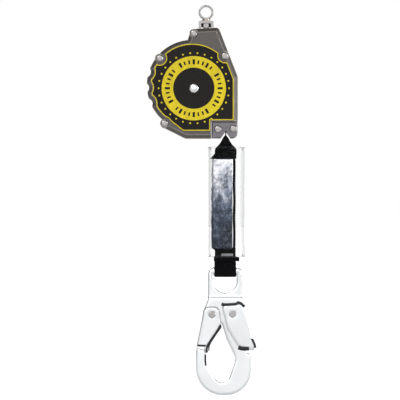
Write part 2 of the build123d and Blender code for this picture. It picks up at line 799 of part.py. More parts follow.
# ---------------------------------------------------------------- snap hook
hook_outline = [(-19.7, 5.0), (20.4, 5.0), (20.4, -36.0), (29.3, -92.0), (30.0, -142.5), (-33.5, -142.5),
                (-33.5, -92.0), (-25.0, -45.0), (-19.7, -32.0)]
hook_radii = [9.0, 9.0, 14.0, 30.0, 28.0, 30.0, 30.0, 20.0, 10.0]
throat_outline = [(-4.7, -57.0), (1.5, -78.0), (12.0, -101.0), (2.8, -127.5), (-8.5, -127.5),
                  (-21.6, -107.0), (-21.6, -80.0)]
throat_radii = [2.0, 12.0, 11.0, 8.5, 9.0, 12.0, 1.0]
spine_recess = [(17.5, -54.0), (20.3, -70.0), (23.0, -83.0), (25.3, -94.0), (40.0, -97.0), (40.0, -54.0)]
gate_gap_outline = [(-60, -95.0), (-16.8, -95.0), (-16.8, -87.0), (-9.5, -60.0), (-60, -50)]
gate_swing_r = 41.5  # the nose is cut to this arc about the gate's pivot

with BuildPart() as hook_body:
    with BuildSketch(hook_plane(hook_half_y)):
        with BuildLine():
            FilletPolyline(*hook_outline, radius=hook_radii, close=True)
        make_face()
        with BuildLine():
            FilletPolyline(*throat_outline, radius=throat_radii, close=True)
        make_face(mode=Mode.SUBTRACT)
        with BuildLine():
            Polyline(*spine_recess, close=True)
        make_face(mode=Mode.SUBTRACT)
        with Locations(gate_pivot):
            Circle(7.6)
        with Locations((0, hook_eye_bottom + hook_eye_half)):
            Circle(hook_eye_half, mode=Mode.SUBTRACT)
            Rectangle(2 * hook_eye_half, 60, align=(Align.CENTER, Align.MIN), mode=Mode.SUBTRACT)
    extrude(amount=2 * hook_half_y)
    fillet(faces().sort_by(Axis.Y)[0].edges(), hook_edge_r)
    fillet(faces().sort_by(Axis.Y)[-1].edges(), hook_edge_r)
    with BuildSketch(hook_plane(hook_half_y)):
        with BuildLine():
            Polyline(*gate_gap_outline, close=True)
        make_face()
        with Locations(gate_pivot):
            Circle(gate_swing_r, mode=Mode.INTERSECT)
    extrude(amount=2 * hook_half_y, mode=Mode.SUBTRACT)
    with BuildSketch(hook_plane(hook_half_y)):
        circles([gate_pivot, lever_pivot], rivet_r + 0.01)
    extrude(amount=2 * hook_half_y, mode=Mode.SUBTRACT)
    for y_side in (hook_half_y, -eye_half_y):
        with BuildSketch(hook_plane(y_side)):
            with Locations((0, -30.0)):
                Rectangle(80, 60, align=(Align.CENTER, Align.MIN))
        extrude(amount=hook_half_y - eye_half_y, mode=Mode.SUBTRACT)
    bar_start = Plane(origin=(hook_x - hook_eye_half - 2, 0, hook_z), x_dir=(0, 1, 0), z_dir=(1, 0, 0))
    with BuildSketch(bar_start):
        Circle(bar_r)
    extrude(amount=2 * hook_eye_half + 4)
hook_body.part.label = "hook_body"
export_step(hook_body.part, "parts/hook_body.step")


def rivet(pivot, wall_outer_y):
    """Rivet through the hook with a domed head over each side wall."""
    with BuildPart() as pin:
        for side in (1, -1):
            with BuildSketch(hook_plane(side * (wall_outer_y + 0.05))):
                with Locations(pivot):
                    Circle(3.9)
            extrude(amount=-side * 1.2)
        with BuildSketch(hook_plane(wall_outer_y + 0.05)):
            with Locations(pivot):
                Circle(rivet_r)
        extrude(amount=2 * wall_outer_y + 0.1)
        fillet(edges().group_by(Axis.Y)[0], 0.9)
        fillet(edges().group_by(Axis.Y)[-1], 0.9)
    return pin


gate_rivet = rivet(gate_pivot, gate_wall_y[1])
gate_rivet.part.label = "gate_rivet"
export_step(gate_rivet.part, "parts/gate_rivet.step")

lever_rivet = rivet(lever_pivot, lever_wall_y[1])
lever_rivet.part.label = "lever_rivet"
export_step(lever_rivet.part, "parts/lever_rivet.step")

gate_outline = [(-24.4, -40.5), (-27.2, -58.0), (-33.2, -86.6), (-24.3, -86.6), (-24.0, -94.0),
                (-19.4, -93.6), (-19.2, -84.5), (-4.6, -62.5), (-6.4, -40.5)]
gate_radii = [6.5, 4.0, 1.5, 0.8, 1.5, 1.5, 3.0, 3.0, 6.5]
gate_web = [(-27.6, -60.0), (-31.2, -78.0), (-33.0, -86.6), (-31.4, -86.6), (-29.7, -78.0), (-26.1, -60.0)]
with BuildPart() as gate:
    for side in (1, -1):
        with BuildSketch(hook_plane(side * gate_wall_y[1])):
            with BuildLine():
                FilletPolyline(*gate_outline, radius=gate_radii, close=True)
            make_face()
            with Locations(gate_pivot):
                Circle(rivet_r + 0.05, mode=Mode.SUBTRACT)
        extrude(amount=side * (gate_wall_y[1] - gate_wall_y[0]))
    with BuildSketch(hook_plane(gate_wall_y[1])):
        with BuildLine():
            Polyline(*gate_web, close=True)
        make_face()
    extrude(amount=2 * gate_wall_y[1])
gate.part.label = "gate"
export_step(gate.part, "parts/gate.step")

lever_outline = [(-4.4, -38.6), (20.9, -36.6), (24.4, -48.0), (29.4, -66.0), (34.4, -89.6), (30.6, -91.0),
                 (14.8, -86.6), (2.2, -66.0)]
lever_radii = [4.0, 2.0, 8.0, 12.0, 1.6, 1.6, 4.0, 10.0]
lever_web = [(26.7, -57.0), (29.4, -66.0), (34.2, -88.5), (32.7, -88.9), (28.0, -66.4), (25.3, -57.0)]
with BuildPart() as lock_lever:
    for side in (1, -1):
        with BuildSketch(hook_plane(side * lever_wall_y[1])):
            with BuildLine():
                FilletPolyline(*lever_outline, radius=lever_radii, close=True)
            make_face()
            with Locations(lever_pivot):
                Circle(rivet_r + 0.05, mode=Mode.SUBTRACT)
        extrude(amount=side * (lever_wall_y[1] - lever_wall_y[0]))
    with BuildSketch(hook_plane(lever_wall_y[1])):
        with BuildLine():
            Polyline(*lever_web, close=True)
        make_face()
    extrude(amount=2 * lever_wall_y[1])
lock_lever.part.label = "lock_lever"
export_step(lock_lever.part, "parts/lock_lever.step")

with BuildPart() as lever_spring:
    spring_plane = Plane(origin=(hook_x + 21.5, 0, hook_z - 72.0), x_dir=(0, 1, 0), z_dir=(1, 0, 0))
    for k in range(6):
        with Locations(spring_plane.offset(0.5 + k * 1.0)):
            Torus(2.6, 0.5)
lever_spring.part.label = "lever_spring"
export_step(lever_spring.part, "parts/lever_spring.step")
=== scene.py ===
import json
import math

import bmesh
import bpy
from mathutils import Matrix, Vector, noise


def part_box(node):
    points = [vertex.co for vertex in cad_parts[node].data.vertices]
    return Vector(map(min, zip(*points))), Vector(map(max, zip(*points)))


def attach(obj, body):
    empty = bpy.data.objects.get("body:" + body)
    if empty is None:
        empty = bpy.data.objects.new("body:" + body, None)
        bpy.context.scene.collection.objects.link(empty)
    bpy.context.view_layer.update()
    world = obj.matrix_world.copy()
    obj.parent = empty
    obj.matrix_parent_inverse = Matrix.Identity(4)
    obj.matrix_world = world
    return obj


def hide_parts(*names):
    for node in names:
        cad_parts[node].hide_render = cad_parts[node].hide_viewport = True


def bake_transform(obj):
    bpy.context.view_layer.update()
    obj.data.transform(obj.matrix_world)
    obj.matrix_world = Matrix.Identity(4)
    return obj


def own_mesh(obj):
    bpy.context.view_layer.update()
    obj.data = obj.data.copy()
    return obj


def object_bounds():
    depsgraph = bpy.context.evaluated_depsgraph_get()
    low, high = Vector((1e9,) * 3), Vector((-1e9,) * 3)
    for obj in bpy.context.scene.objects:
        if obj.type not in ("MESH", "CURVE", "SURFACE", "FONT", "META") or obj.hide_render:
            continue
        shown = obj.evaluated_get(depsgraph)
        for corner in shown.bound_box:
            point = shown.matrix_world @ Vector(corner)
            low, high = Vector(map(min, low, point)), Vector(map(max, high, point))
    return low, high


# Looks of the self retracting lifeline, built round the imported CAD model.
# Metres; +Z up, -Y is the front of the case.

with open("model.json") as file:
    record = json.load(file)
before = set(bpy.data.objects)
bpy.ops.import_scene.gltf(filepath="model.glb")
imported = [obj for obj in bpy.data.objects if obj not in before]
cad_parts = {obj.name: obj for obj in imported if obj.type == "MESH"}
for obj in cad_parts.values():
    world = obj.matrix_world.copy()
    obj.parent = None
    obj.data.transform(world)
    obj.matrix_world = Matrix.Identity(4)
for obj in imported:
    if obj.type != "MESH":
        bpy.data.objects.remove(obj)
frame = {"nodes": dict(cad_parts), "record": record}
cad_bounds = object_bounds()
nodes = frame["nodes"]
slot_of = {s["node"]: s["material_slot"] for s in frame["record"]["subparts"]}
MM = 0.001


# ------------------------------------------------------------ material helpers
class Look:
    """One procedural material, with short calls for adding and joining its nodes."""

    def __init__(self, name, **constants):
        self.material = bpy.data.materials.new(name)
        self.material.use_nodes = True
        self.tree = self.material.node_tree
        self.shader = self.tree.nodes["Principled BSDF"]
        for key, value in constants.items():
            self.shader.inputs[key.replace("_", " ")].default_value = value

    def node(self, kind, **settings):
        made = self.tree.nodes.new(kind)
        for key, value in settings.items():
            if key in made.inputs:
                made.inputs[key].default_value = value
            else:
                setattr(made, key, value)
        return made

    def join(self, out, into):
        self.tree.links.new(out, into)

    def math(self, operation, a, b=None):
        made = self.node("ShaderNodeMath", operation=operation)
        for socket, value in zip(made.inputs, (a, b)):
            if value is None:
                continue
            if isinstance(value, (int, float)):
                socket.default_value = value
            else:
                self.join(value, socket)
        return made.outputs[0]

    def place(self, scale=(1, 1, 1)):
        """Object coordinates, stretched by scale."""
        source = self.node("ShaderNodeTexCoord")
        mapping = self.node("ShaderNodeMapping")
        mapping.inputs["Scale"].default_value = scale
        self.join(source.outputs["Object"], mapping.inputs["Vector"])
        return mapping.outputs["Vector"]

    def noise(self, scale, detail=3.0, stretch=(1, 1, 1), roughness=0.55):
        made = self.node("ShaderNodeTexNoise", Scale=scale, Detail=detail, Roughness=roughness)
        self.join(self.place(stretch), made.inputs["Vector"])
        return made.outputs["Fac"]

    def ramp(self, fac, stops):
        made = self.node("ShaderNodeValToRGB")
        elements = made.color_ramp.elements
        while len(elements) < len(stops):
            elements.new(0.5)
        for element, (position, colour) in zip(elements, stops):
            element.position = position
            element.color = (*colour, 1.0)
        self.join(fac, made.inputs["Fac"])
        return made.outputs["Color"]

    def span(self, fac, low, high):
        """Maps 0..1 to low..high."""
        made = self.node("ShaderNodeMapRange")
        made.inputs["To Min"].default_value = low
        made.inputs["To Max"].default_value = high
        self.join(fac, made.inputs["Value"])
        return made.outputs["Result"]

    def mix(self, fac, a, b):
        made = self.node("ShaderNodeMix", data_type="RGBA")
        self.join(fac, made.inputs["Factor"])
        for socket, value in ((made.inputs[6], a), (made.inputs[7], b)):
            if isinstance(value, tuple):
                socket.default_value = (*value, 1.0)
            else:
                self.join(value, socket)
        return made.outputs[2]

    def colour(self, out):
        self.join(out, self.shader.inputs["Base Color"])

    def roughness(self, out):
        self.join(out, self.shader.inputs["Roughness"])

    def bump(self, height, distance, strength=1.0, edge_radius=0.0):
        made = self.node("ShaderNodeBump", Distance=distance, Strength=strength)
        if edge_radius:
            bevel = self.node("ShaderNodeBevel", samples=8, Radius=edge_radius)
            self.join(bevel.outputs["Normal"], made.inputs["Normal"])
        self.join(height, made.inputs["Height"])
        self.join(made.outputs["Normal"], self.shader.inputs["Normal"])


def shade(base, factor):
    return tuple(min(1.0, c * factor) for c in base)


def metal(name, base, rough, stretch=(1, 1, 1), grain=420.0, depth=0.00004):
    """Bare or plated metal with fine grain, blotchy tone and uneven polish."""
    look = Look(name, Metallic=1.0)
    grain_out = look.noise(grain, 4.0, stretch)
    blotch = look.noise(55.0, 3.0)
    look.colour(look.ramp(look.math("MULTIPLY", grain_out, blotch),
                          [(0.12, shade(base, 0.82)), (0.42, shade(base, 1.06))]))
    look.roughness(look.span(blotch, rough * 0.65, rough * 1.4))
    look.bump(grain_out, depth, 0.35)
    return look.material


def forged_metal(name, base, rough, edge_radius):
    """Plated forging, evenly bright on its faces, with edges that look rounded over."""
    look = Look(name, Metallic=1.0)
    grain = look.noise(300.0, 4.0)
    blotch = look.noise(22.0, 2.0)
    look.colour(look.ramp(blotch, [(0.3, shade(base, 0.95)), (0.7, base)]))
    look.roughness(look.span(blotch, rough * 0.8, rough * 1.25))
    look.bump(grain, 0.00002, 0.25, edge_radius)
    return look.material


def case_paint():
    """Textured grey paint on a casting, with a patchy painted highlight along its edges."""
    base = (0.105, 0.094, 0.086)
    look = Look("case_paint", Metallic=0.35, Coat_Weight=0.15, Coat_Roughness=0.3)
    peel = look.noise(900.0, 2.0)
    blotch = look.noise(38.0, 4.0)
    painted = look.ramp(blotch, [(0.3, shade(base, 0.85)), (0.7, shade(base, 1.15))])
    bevel = look.node("ShaderNodeBevel", samples=6, Radius=2.4 * MM)
    normal = look.node("ShaderNodeNewGeometry")
    product = look.node("ShaderNodeVectorMath", operation="DOT_PRODUCT")
    look.join(bevel.outputs["Normal"], product.inputs[0])
    look.join(normal.outputs["Normal"], product.inputs[1])
    edge = look.math("SUBTRACT", 1.0, product.outputs["Value"])
    # Painted highlight: a lighter colour mixed in along the bevelled edges, broken up by noise, where the
    # rims catch light
    edge_highlight = look.math("MULTIPLY", look.math("MULTIPLY", edge, 13.0), look.noise(210.0, 4.0))
    edge_highlight_clamp = look.node("ShaderNodeClamp")
    look.join(edge_highlight, edge_highlight_clamp.inputs["Value"])
    look.colour(look.mix(edge_highlight_clamp.outputs["Result"], painted, (0.48, 0.44, 0.38)))
    look.roughness(look.span(blotch, 0.3, 0.48))
    look.bump(peel, 0.00012, 0.35)
    return look.material


def cast_metal():
    """Blasted die casting."""
    base = (0.21, 0.20, 0.215)
    look = Look("cast_metal", Metallic=0.7)
    grit = look.noise(1500.0, 2.0)
    blotch = look.noise(70.0, 3.0)
    look.colour(look.ramp(blotch, [(0.3, shade(base, 0.8)), (0.75, shade(base, 1.35))]))
    look.roughness(look.span(blotch, 0.34, 0.55))
    look.bump(grit, 0.00014, 0.5)
    return look.material


def plastic(name, base, rough, coat=0.0, gloss=0.4):
    """Moulded or printed plastic with a faint grain and small scuffs."""
    look = Look(name, Coat_Weight=coat, Coat_Roughness=0.12, Specular_IOR_Level=gloss)
    scuff = look.noise(160.0, 6.0, (1, 1, 0.25))
    grain = look.noise(1400.0, 2.0)
    look.colour(look.ramp(scuff, [(0.35, shade(base, 0.86)), (0.78, shade(base, 1.15))]))
    look.roughness(look.span(scuff, rough * 0.75, rough * 1.35))
    look.bump(grain, 0.00005, 0.3)
    return look.material


def webbing(name, dark, light, rib=1.55 * MM, pick=1.15 * MM):
    """Woven strap: ribs along its length, crossed by picks that shift on every other rib."""
    look = Look(name, Specular_IOR_Level=0.08, Sheen_Weight=0.02, Sheen_Roughness=0.5)
    source = look.node("ShaderNodeAttribute", attribute_name="weave")
    split = look.node("ShaderNodeSeparateXYZ")
    look.join(source.outputs["Vector"], split.inputs["Vector"])
    across = look.math("SINE", look.math("MULTIPLY", split.outputs["X"], 2 * math.pi / rib))
    along = look.math("SINE", look.math("MULTIPLY", split.outputs["Y"], 2 * math.pi / pick))
    height = look.span(look.math("MULTIPLY", across, along), 0.0, 1.0)
    fuzz = look.noise(1900.0, 3.0)
    tone = look.math("MULTIPLY", look.math("ADD", height, fuzz), 0.5)
    look.colour(look.ramp(tone, [(0.25, dark), (0.8, light)]))
    look.roughness(look.span(fuzz, 0.72, 0.95))
    look.bump(tone, 0.00035, 0.8)
    return look.material


def film():
    """Glossy wrapping film with a painted reflection: pale at the top and slate lower down, wobbled by the
    creases, with crinkled shine.
    """
    look = Look("silver_film", Metallic=0.75, Coat_Weight=0.25, Coat_Roughness=0.06)
    source = look.node("ShaderNodeTexCoord")
    split = look.node("ShaderNodeSeparateXYZ")
    look.join(source.outputs["Generated"], split.inputs["Vector"])
    crease = look.noise(62.0, 5.0, (1.5, 1, 0.55), 0.65)
    reflection_wobble = look.math("MULTIPLY", look.math("SUBTRACT", crease, 0.5), 1.5)
    reflection_height = look.math("ADD", split.outputs["Z"], reflection_wobble)
    # Painted reflection: the colour follows height on the film, dark slate at the bottom to near white at
    # the top
    look.colour(look.ramp(reflection_height, [(0.02, (0.035, 0.042, 0.058)), (0.3, (0.07, 0.09, 0.13)),
                                    (0.55, (0.15, 0.175, 0.235)), (0.72, (0.42, 0.44, 0.50)),
                                    (0.95, (0.80, 0.81, 0.86))]))
    look.roughness(look.span(crease, 0.1, 0.32))
    look.bump(look.noise(190.0, 4.0, (1, 1, 0.6)), 0.0007, 0.5)
    return look.material


def vinyl():
    """Clear soft vinyl: nearly invisible face on, greyer where it is seen along its surface."""
    look = Look("clear_vinyl", Roughness=0.09, Coat_Weight=0.4, Coat_Roughness=0.05, Specular_IOR_Level=0.55)
    cloud = look.noise(48.0, 3.0)
    look.colour(look.ramp(cloud, [(0.3, (0.42, 0.45, 0.46)), (0.7, (0.62, 0.65, 0.66))]))
    facing = look.node("ShaderNodeLayerWeight", Blend=0.35)
    grazing = look.math("POWER", look.span(facing.outputs["Facing"], 0.0, 1.0), 2.2)
    haze = look.math("MULTIPLY", grazing, look.span(cloud, 0.55, 0.95))
    look.join(look.math("ADD", haze, 0.006), look.shader.inputs["Alpha"])
    look.bump(look.noise(85.0, 3.0, (1, 1, 0.4)), 0.0009, 0.35)
    return look.material


MATERIALS = {
    "housing_grey": case_paint(),
    "label_black": plastic("label_black", (0.0085, 0.007, 0.005), 0.34, coat=0.0, gloss=0.2),
    "zinc_steel": metal("zinc_steel", (0.50, 0.48, 0.47), 0.27),
    "bright_steel": forged_metal("bright_steel", (0.96, 0.98, 0.985), 0.2, 4.5 * MM),
    "frame_steel": metal("frame_steel", (0.46, 0.46, 0.47), 0.38, (8, 1, 1)),
    "spring_steel": metal("spring_steel", (0.24, 0.26, 0.30), 0.28, (1, 8, 1)),
    "cast_grey": cast_metal(),
    "black_plastic": plastic("black_plastic", (0.018, 0.018, 0.02), 0.45),
    "bronze": metal("bronze", (0.62, 0.40, 0.18), 0.33),
    "webbing_black": webbing("webbing_black", (0.0015, 0.0015, 0.002), (0.009, 0.009, 0.011)),
    "silver_film": film(),
    "clear_vinyl": vinyl(),
}
# Pale thread, used only for the painted highlight band across the lower strap
HIGHLIGHT_THREAD = webbing("highlight_thread", (0.55, 0.56, 0.58), (0.80, 0.81, 0.82), 0.5 * MM, 0.5 * MM)
THREAD_DARK = webbing("thread_dark", (0.008, 0.008, 0.01), (0.03, 0.03, 0.035), 0.5 * MM, 0.5 * MM)
PRINT_YELLOW = plastic("print_yellow", (0.80, 0.63, 0.012), 0.36, gloss=0.3)
LABEL_GREY = plastic("label_grey", (0.50, 0.50, 0.49), 0.4, coat=0.1)

for name, slot in slot_of.items():
    mesh = nodes[name].data
    mesh.materials.clear()
    mesh.materials.append(MATERIALS[slot])


# ------------------------------------------------------------ mesh helpers
def link(name, mesh, material):
    piece = bpy.data.objects.new(name, mesh)
    bpy.context.scene.collection.objects.link(piece)
    mesh.materials.append(material)
    for polygon in mesh.polygons:
        polygon.use_smooth = True
    return piece


def mesh_of(name, vertices, faces):
    """Mesh with its faces turned outwards."""
    mesh = bpy.data.meshes.new(name)
    mesh.from_pydata(vertices, [], faces)
    shape = bmesh.new()
    shape.from_mesh(mesh)
    bmesh.ops.recalc_face_normals(shape, faces=shape.faces)
    shape.to_mesh(mesh)
    shape.free()
    return mesh


def mesh_from(shape, name):
    """Mesh made from a bmesh, which is used up, with its faces turned outwards."""
    bmesh.ops.recalc_face_normals(shape, faces=shape.faces)
    mesh = bpy.data.meshes.new(name)
    shape.to_mesh(mesh)
    shape.free()
    return mesh


def add_weave(mesh, places):
    """Gives each vertex its place on the strap, which the webbing material reads."""
    attribute = mesh.attributes.new("weave", "FLOAT_VECTOR", "POINT")
    attribute.data.foreach_set("vector", [v for place in places for v in (place[0], place[1], 0.0)])


def sweep(name, sections, weave, closed=False, material=None, slot="webbing_black"):
    """Skins rings of points, all with the same count; weave holds each point's (across, along)."""
    count = len(sections[0])
    vertices = [tuple(p) for ring in sections for p in ring]
    faces = []
    steps = len(sections) if closed else len(sections) - 1
    for i in range(steps):
        a, b = i * count, ((i + 1) % len(sections)) * count
        for k in range(count):
            n = (k + 1) % count
            faces.append((a + k, a + n, b + n, b + k))
    if not closed:
        faces.append(tuple(range(count))[::-1])
        faces.append(tuple(range(len(vertices) - count, len(vertices))))
    mesh = mesh_of(name, vertices, faces)
    add_weave(mesh, weave)
    return link(name, mesh, material or MATERIALS[slot])


def strap_section(width, thickness, columns=14):
    """Flat band's outline as (across, through) points, with rounded selvedges and a faint crown."""
    half, depth = width / 2, thickness / 2
    top = []
    for k in range(columns + 1):
        u = -1 + 2 * k / columns
        inner = half - depth
        edge = math.sqrt(max(0.0, 1 - max(0.0, (abs(u) * half - inner) / depth) ** 2))
        top.append((u * half, depth * (0.25 + 0.75 * edge)))
    return top + [(x, -y) for x, y in reversed(top)]


def strap(name, stations, thickness, closed=False, material=None):
    """Band of webbing through stations of (centre, across, normal, width)."""
    sections, weave, run = [], [], 0.0
    previous = None
    for centre, across, normal, width in stations:
        if previous is not None:
            run += (centre - previous).length
        previous = centre
        ring = []
        for x, y in strap_section(width, thickness):
            ring.append(centre + across * x + normal * y)
            weave.append((x, run))
        sections.append(ring)
    return sweep(name, sections, weave, closed, material)


def stitches(name, rows, thread, length=2.1 * MM, pitch=3.0 * MM, width=0.55 * MM):
    """Rows of sewn stitches: each row is (start, end, outward normal)."""
    shape = bmesh.new()
    for start, end, normal in rows:
        run = end - start
        count = max(1, int(run.length / pitch))
        along = run.normalized()
        side = along.cross(normal).normalized()
        for k in range(count):
            centre = start + run * ((k + 0.5) / count)
            rings = []
            for j in range(7):
                t = -1 + j / 3
                radius = width * 0.5 * math.sqrt(max(0.03, 1 - t * t))
                middle = centre + along * (t * length / 2)
                ring = []
                for i in range(6):
                    angle = i * math.pi / 3
                    offset = side * (radius * math.cos(angle)) + normal * (radius * math.sin(angle))
                    ring.append(shape.verts.new(middle + offset))
                rings.append(ring)
            for a, b in zip(rings, rings[1:]):
                for i in range(6):
                    shape.faces.new((a[i], a[(i + 1) % 6], b[(i + 1) % 6], b[i]))
            shape.faces.new(rings[0][::-1])
            shape.faces.new(rings[-1])
    mesh = mesh_from(shape, name)
    add_weave(mesh, [(v.co.x + v.co.y, v.co.z) for v in mesh.vertices])
    return link(name, mesh, thread)


def plate(name, loops, y_front, thickness, material, body):
    """Thin flat print in a plane facing the front: quads between paired outlines, or one filled outline."""
    shape = bmesh.new()
    for outer, inner in loops:
        front = [shape.verts.new((x, y_front, z)) for x, z in outer]
        back = [shape.verts.new((x, y_front + thickness, z)) for x, z in outer]
        count = len(outer)
        if inner is None:
            shape.faces.new(front)
            shape.faces.new(back[::-1])
            for k in range(count):
                n = (k + 1) % count
                shape.faces.new((front[k], back[k], back[n], front[n]))
            continue
        front_in = [shape.verts.new((x, y_front, z)) for x, z in inner]
        back_in = [shape.verts.new((x, y_front + thickness, z)) for x, z in inner]
        for k in range(count):
            n = (k + 1) % count
            shape.faces.new((front[k], front[n], front_in[n], front_in[k]))
            shape.faces.new((back[k], back_in[k], back_in[n], back[n]))
            shape.faces.new((front[k], back[k], back[n], front[n]))
            shape.faces.new((front_in[k], front_in[n], back_in[n], back_in[k]))
    mesh = mesh_from(shape, name)
    piece = link(name, mesh, material)
    for polygon in mesh.polygons:
        polygon.use_smooth = False
    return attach(piece, body)


def circle(centre, radius, count=96, start=0.0):
    return [(centre[0] + radius * math.cos(start + 2 * math.pi * k / count),
             centre[1] + radius * math.sin(start + 2 * math.pi * k / count)) for k in range(count)]


# ------------------------------------------------------------ prints on the labels
axle_low, axle_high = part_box("axle")
drum_centre = ((axle_low.x + axle_high.x) / 2, (axle_low.z + axle_high.z) / 2)


def outline_of(node, y_value):
    """Outer boundary of a label's front face, as (x, z) points in order."""
    shape = bmesh.new()
    shape.from_mesh(nodes[node].data)
    bmesh.ops.remove_doubles(shape, verts=shape.verts, dist=1e-6)
    keep = [f for f in shape.faces if all(abs(v.co.y - y_value) < 1e-5 for v in f.verts)]
    inside = set(keep)
    edges = [e for e in shape.edges if sum(f in inside for f in e.link_faces) == 1]
    around = {}
    for e in edges:
        a, b = e.verts
        around.setdefault(a, []).append(b)
        around.setdefault(b, []).append(a)
    loops, seen = [], set()
    for first in around:
        if first in seen:
            continue
        loop, here, last = [], first, None
        while here not in seen:
            seen.add(here)
            loop.append((here.co.x, here.co.z))
            ahead = [v for v in around[here] if v != last]
            last, here = here, ahead[0]
        loops.append(loop)
    shape.free()
    return max(loops, key=lambda loop: max(p[0] for p in loop) - min(p[0] for p in loop))


def area(loop):
    return sum(a[0] * b[1] - b[0] * a[1] for a, b in zip(loop, loop[1:] + loop[:1])) / 2


def thinned(loop, step):
    """The outline without points closer together than step."""
    kept = [loop[0]]
    for p in loop[1:]:
        if math.dist(p, kept[-1]) >= step:
            kept.append(p)
    if math.dist(kept[0], kept[-1]) < step:
        kept.pop()
    return kept


def inset(loop, distance):
    """Outline moved inwards; corners keep their mitre up to twice the distance."""
    moved = []
    count = len(loop)
    for k in range(count):
        before, here, after = loop[k - 1], loop[k], loop[(k + 1) % count]
        d1 = Vector((here[0] - before[0], here[1] - before[1])).normalized()
        d2 = Vector((after[0] - here[0], after[1] - here[1])).normalized()
        n1, n2 = Vector((-d1.y, d1.x)), Vector((-d2.y, d2.x))
        mitre = n1 + n2
        if mitre.length < 1e-6:
            mitre = n1
        mitre.normalize()
        reach = distance / max(0.5, mitre.dot(n1))
        moved.append((here[0] + mitre.x * reach, here[1] + mitre.y * reach))
    return moved


label_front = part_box("front_label")[0].y
print_thickness = 0.12 * MM
outline = thinned(outline_of("front_label", label_front), 0.35 * MM)
if area(outline) < 0:
    outline = outline[::-1]
border_outer, border_inner = 0.15 * MM, 1.15 * MM
plate("label_border", [(inset(outline, border_outer), inset(outline, border_inner))],
      label_front - print_thickness, print_thickness, PRINT_YELLOW, "housing")

ring_outer_r, ring_inner_r = 36.8 * MM, 23.6 * MM
ring = [(circle(drum_centre, ring_outer_r), circle(drum_centre, ring_inner_r))]
plate("label_ring", ring, label_front - print_thickness, print_thickness,
      PRINT_YELLOW, "housing")

dot_count, dot_circle_r, dot_r = 30, 40.3 * MM, 1.0 * MM
dots = [(circle(centre, dot_r, 16), None) for centre in circle(drum_centre, dot_circle_r, dot_count)]
plate("label_dots", dots, label_front - print_thickness, print_thickness,
      PRINT_YELLOW, "housing")

# Dashes round the ring: every third is larger, and one in nine is left out
dash_places, dash_circle_r = 36, 30.2 * MM
small_dash, large_dash = (2.1 * MM, 0.9 * MM), (2.9 * MM, 1.3 * MM)
corners = [(-1, -1), (1, -1), (1, 1), (-1, 1)]
dashes = []
for k in range(dash_places):
    if k % 9 == 4:
        continue
    angle = 2 * math.pi * k / dash_places
    radial = Vector((math.cos(angle), math.sin(angle)))
    tangent = Vector((-math.sin(angle), math.cos(angle)))
    middle = Vector(drum_centre) + radial * dash_circle_r
    half_u, half_v = small_dash if k % 3 else large_dash
    dashes.append(([tuple(middle + radial * half_u * a + tangent * half_v * b) for a, b in corners], None))
plate("label_dashes", dashes, label_front - 2 * print_thickness, print_thickness,
      MATERIALS["label_black"], "housing")

rear_low, rear_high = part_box("rear_label")
rear_y = rear_high.y
# Lines of the rear label, each a share of the full length; zero leaves a line out
line_shares = (0.86, 0.62, 0.8, 0.0, 0.0, 0.0, 0.74, 0.86, 0.55)
line_margin, line_pitch, line_height, line_length = 6.0 * MM, 5.2 * MM, 1.7 * MM, 50.0 * MM
rows = []
for k, share in enumerate(line_shares):
    if share:
        z = rear_high.z - (line_margin + line_pitch * k)
        right = rear_high.x - line_margin
        left = right - share * line_length
        rows.append(([(left, z), (right, z), (right, z + line_height), (left, z + line_height)], None))
plate("rear_label_lines", rows, rear_y, print_thickness, LABEL_GREY, "housing")
rear_x, rear_z = (rear_low.x + rear_high.x) / 2, (rear_low.z + rear_high.z) / 2


def rounded(half_x, half_z, radius, count=8):
    """Rounded rectangle about the rear label's centre, anticlockwise."""
    points = []
    for corner, (sx, sz) in enumerate(((1, 1), (-1, 1), (-1, -1), (1, -1))):
        for k in range(count + 1):
            angle = math.pi / 2 * (corner + k / count)
            points.append((rear_x + sx * (half_x - radius) + radius * math.cos(angle),
                           rear_z + sz * (half_z - radius) + radius * math.sin(angle)))
    return points


half_x, half_z = (rear_high.x - rear_low.x) / 2, (rear_high.z - rear_low.z) / 2
border = [(rounded(half_x - 0.6 * MM, half_z - 0.6 * MM, 4.4 * MM),
           rounded(half_x - 1.5 * MM, half_z - 1.5 * MM, 3.5 * MM))]
plate("rear_label_border", border, rear_y, print_thickness, PRINT_YELLOW, "housing")

# ------------------------------------------------------------ webbing from the reel to the shock pack
X, Y, Z = Vector((1, 0, 0)), Vector((0, 1, 0)), Vector((0, 0, 1))
line_low, line_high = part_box("lifeline_web")
line_x = (line_low.x + line_high.x) / 2
swing_z = line_low.z
line_width = line_high.y - line_low.y

stations = []
for k in range(61):
    z = line_high.z + (swing_z - line_high.z) * k / 60
    stations.append((Vector((line_x, 0, z)), Y, X, line_width - 0.4 * MM))
line_strip = strap("lifeline_strap", stations, 1.3 * MM)
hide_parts("lifeline_web")
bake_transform(line_strip)

pack_low, pack_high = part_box("tear_web_core")
twist_end = pack_high.z + 10.0 * MM
stations = []
for k in range(49):
    t = k / 48
    z = swing_z + (pack_high.z - 1.0 * MM - swing_z) * t
    s = min(1.0, (swing_z - z) / (swing_z - twist_end))
    turn = math.asin(max(0.0, s) ** 0.85)
    width = line_width - 0.4 * MM - 4.2 * MM * math.sin(math.pi * s) ** 2
    sag = 0.7 * MM * math.sin(math.pi * s)
    across = Y * math.cos(turn) + X * math.sin(turn)
    normal = X * math.cos(turn) - Y * math.sin(turn)
    stations.append((Vector((line_x, -sag, z)), across, normal, width))
twist = strap("twisted_strap", stations, 1.7 * MM)
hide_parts("twisted_web")
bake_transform(twist)

fold_z = pack_high.z + 6.6 * MM
stations = []
for k in range(32):
    angle = 2 * math.pi * k / 32
    centre = Vector((line_x, 2.0 * MM * math.cos(angle), fold_z + 2.4 * MM * math.sin(angle)))
    normal = Vector((0, math.cos(angle), math.sin(angle)))
    stations.append((centre, X, normal, 25.2 * MM))
pack_top_fold = strap("pack_top_fold", stations, 1.1 * MM, closed=True)
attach(pack_top_fold, "absorber")

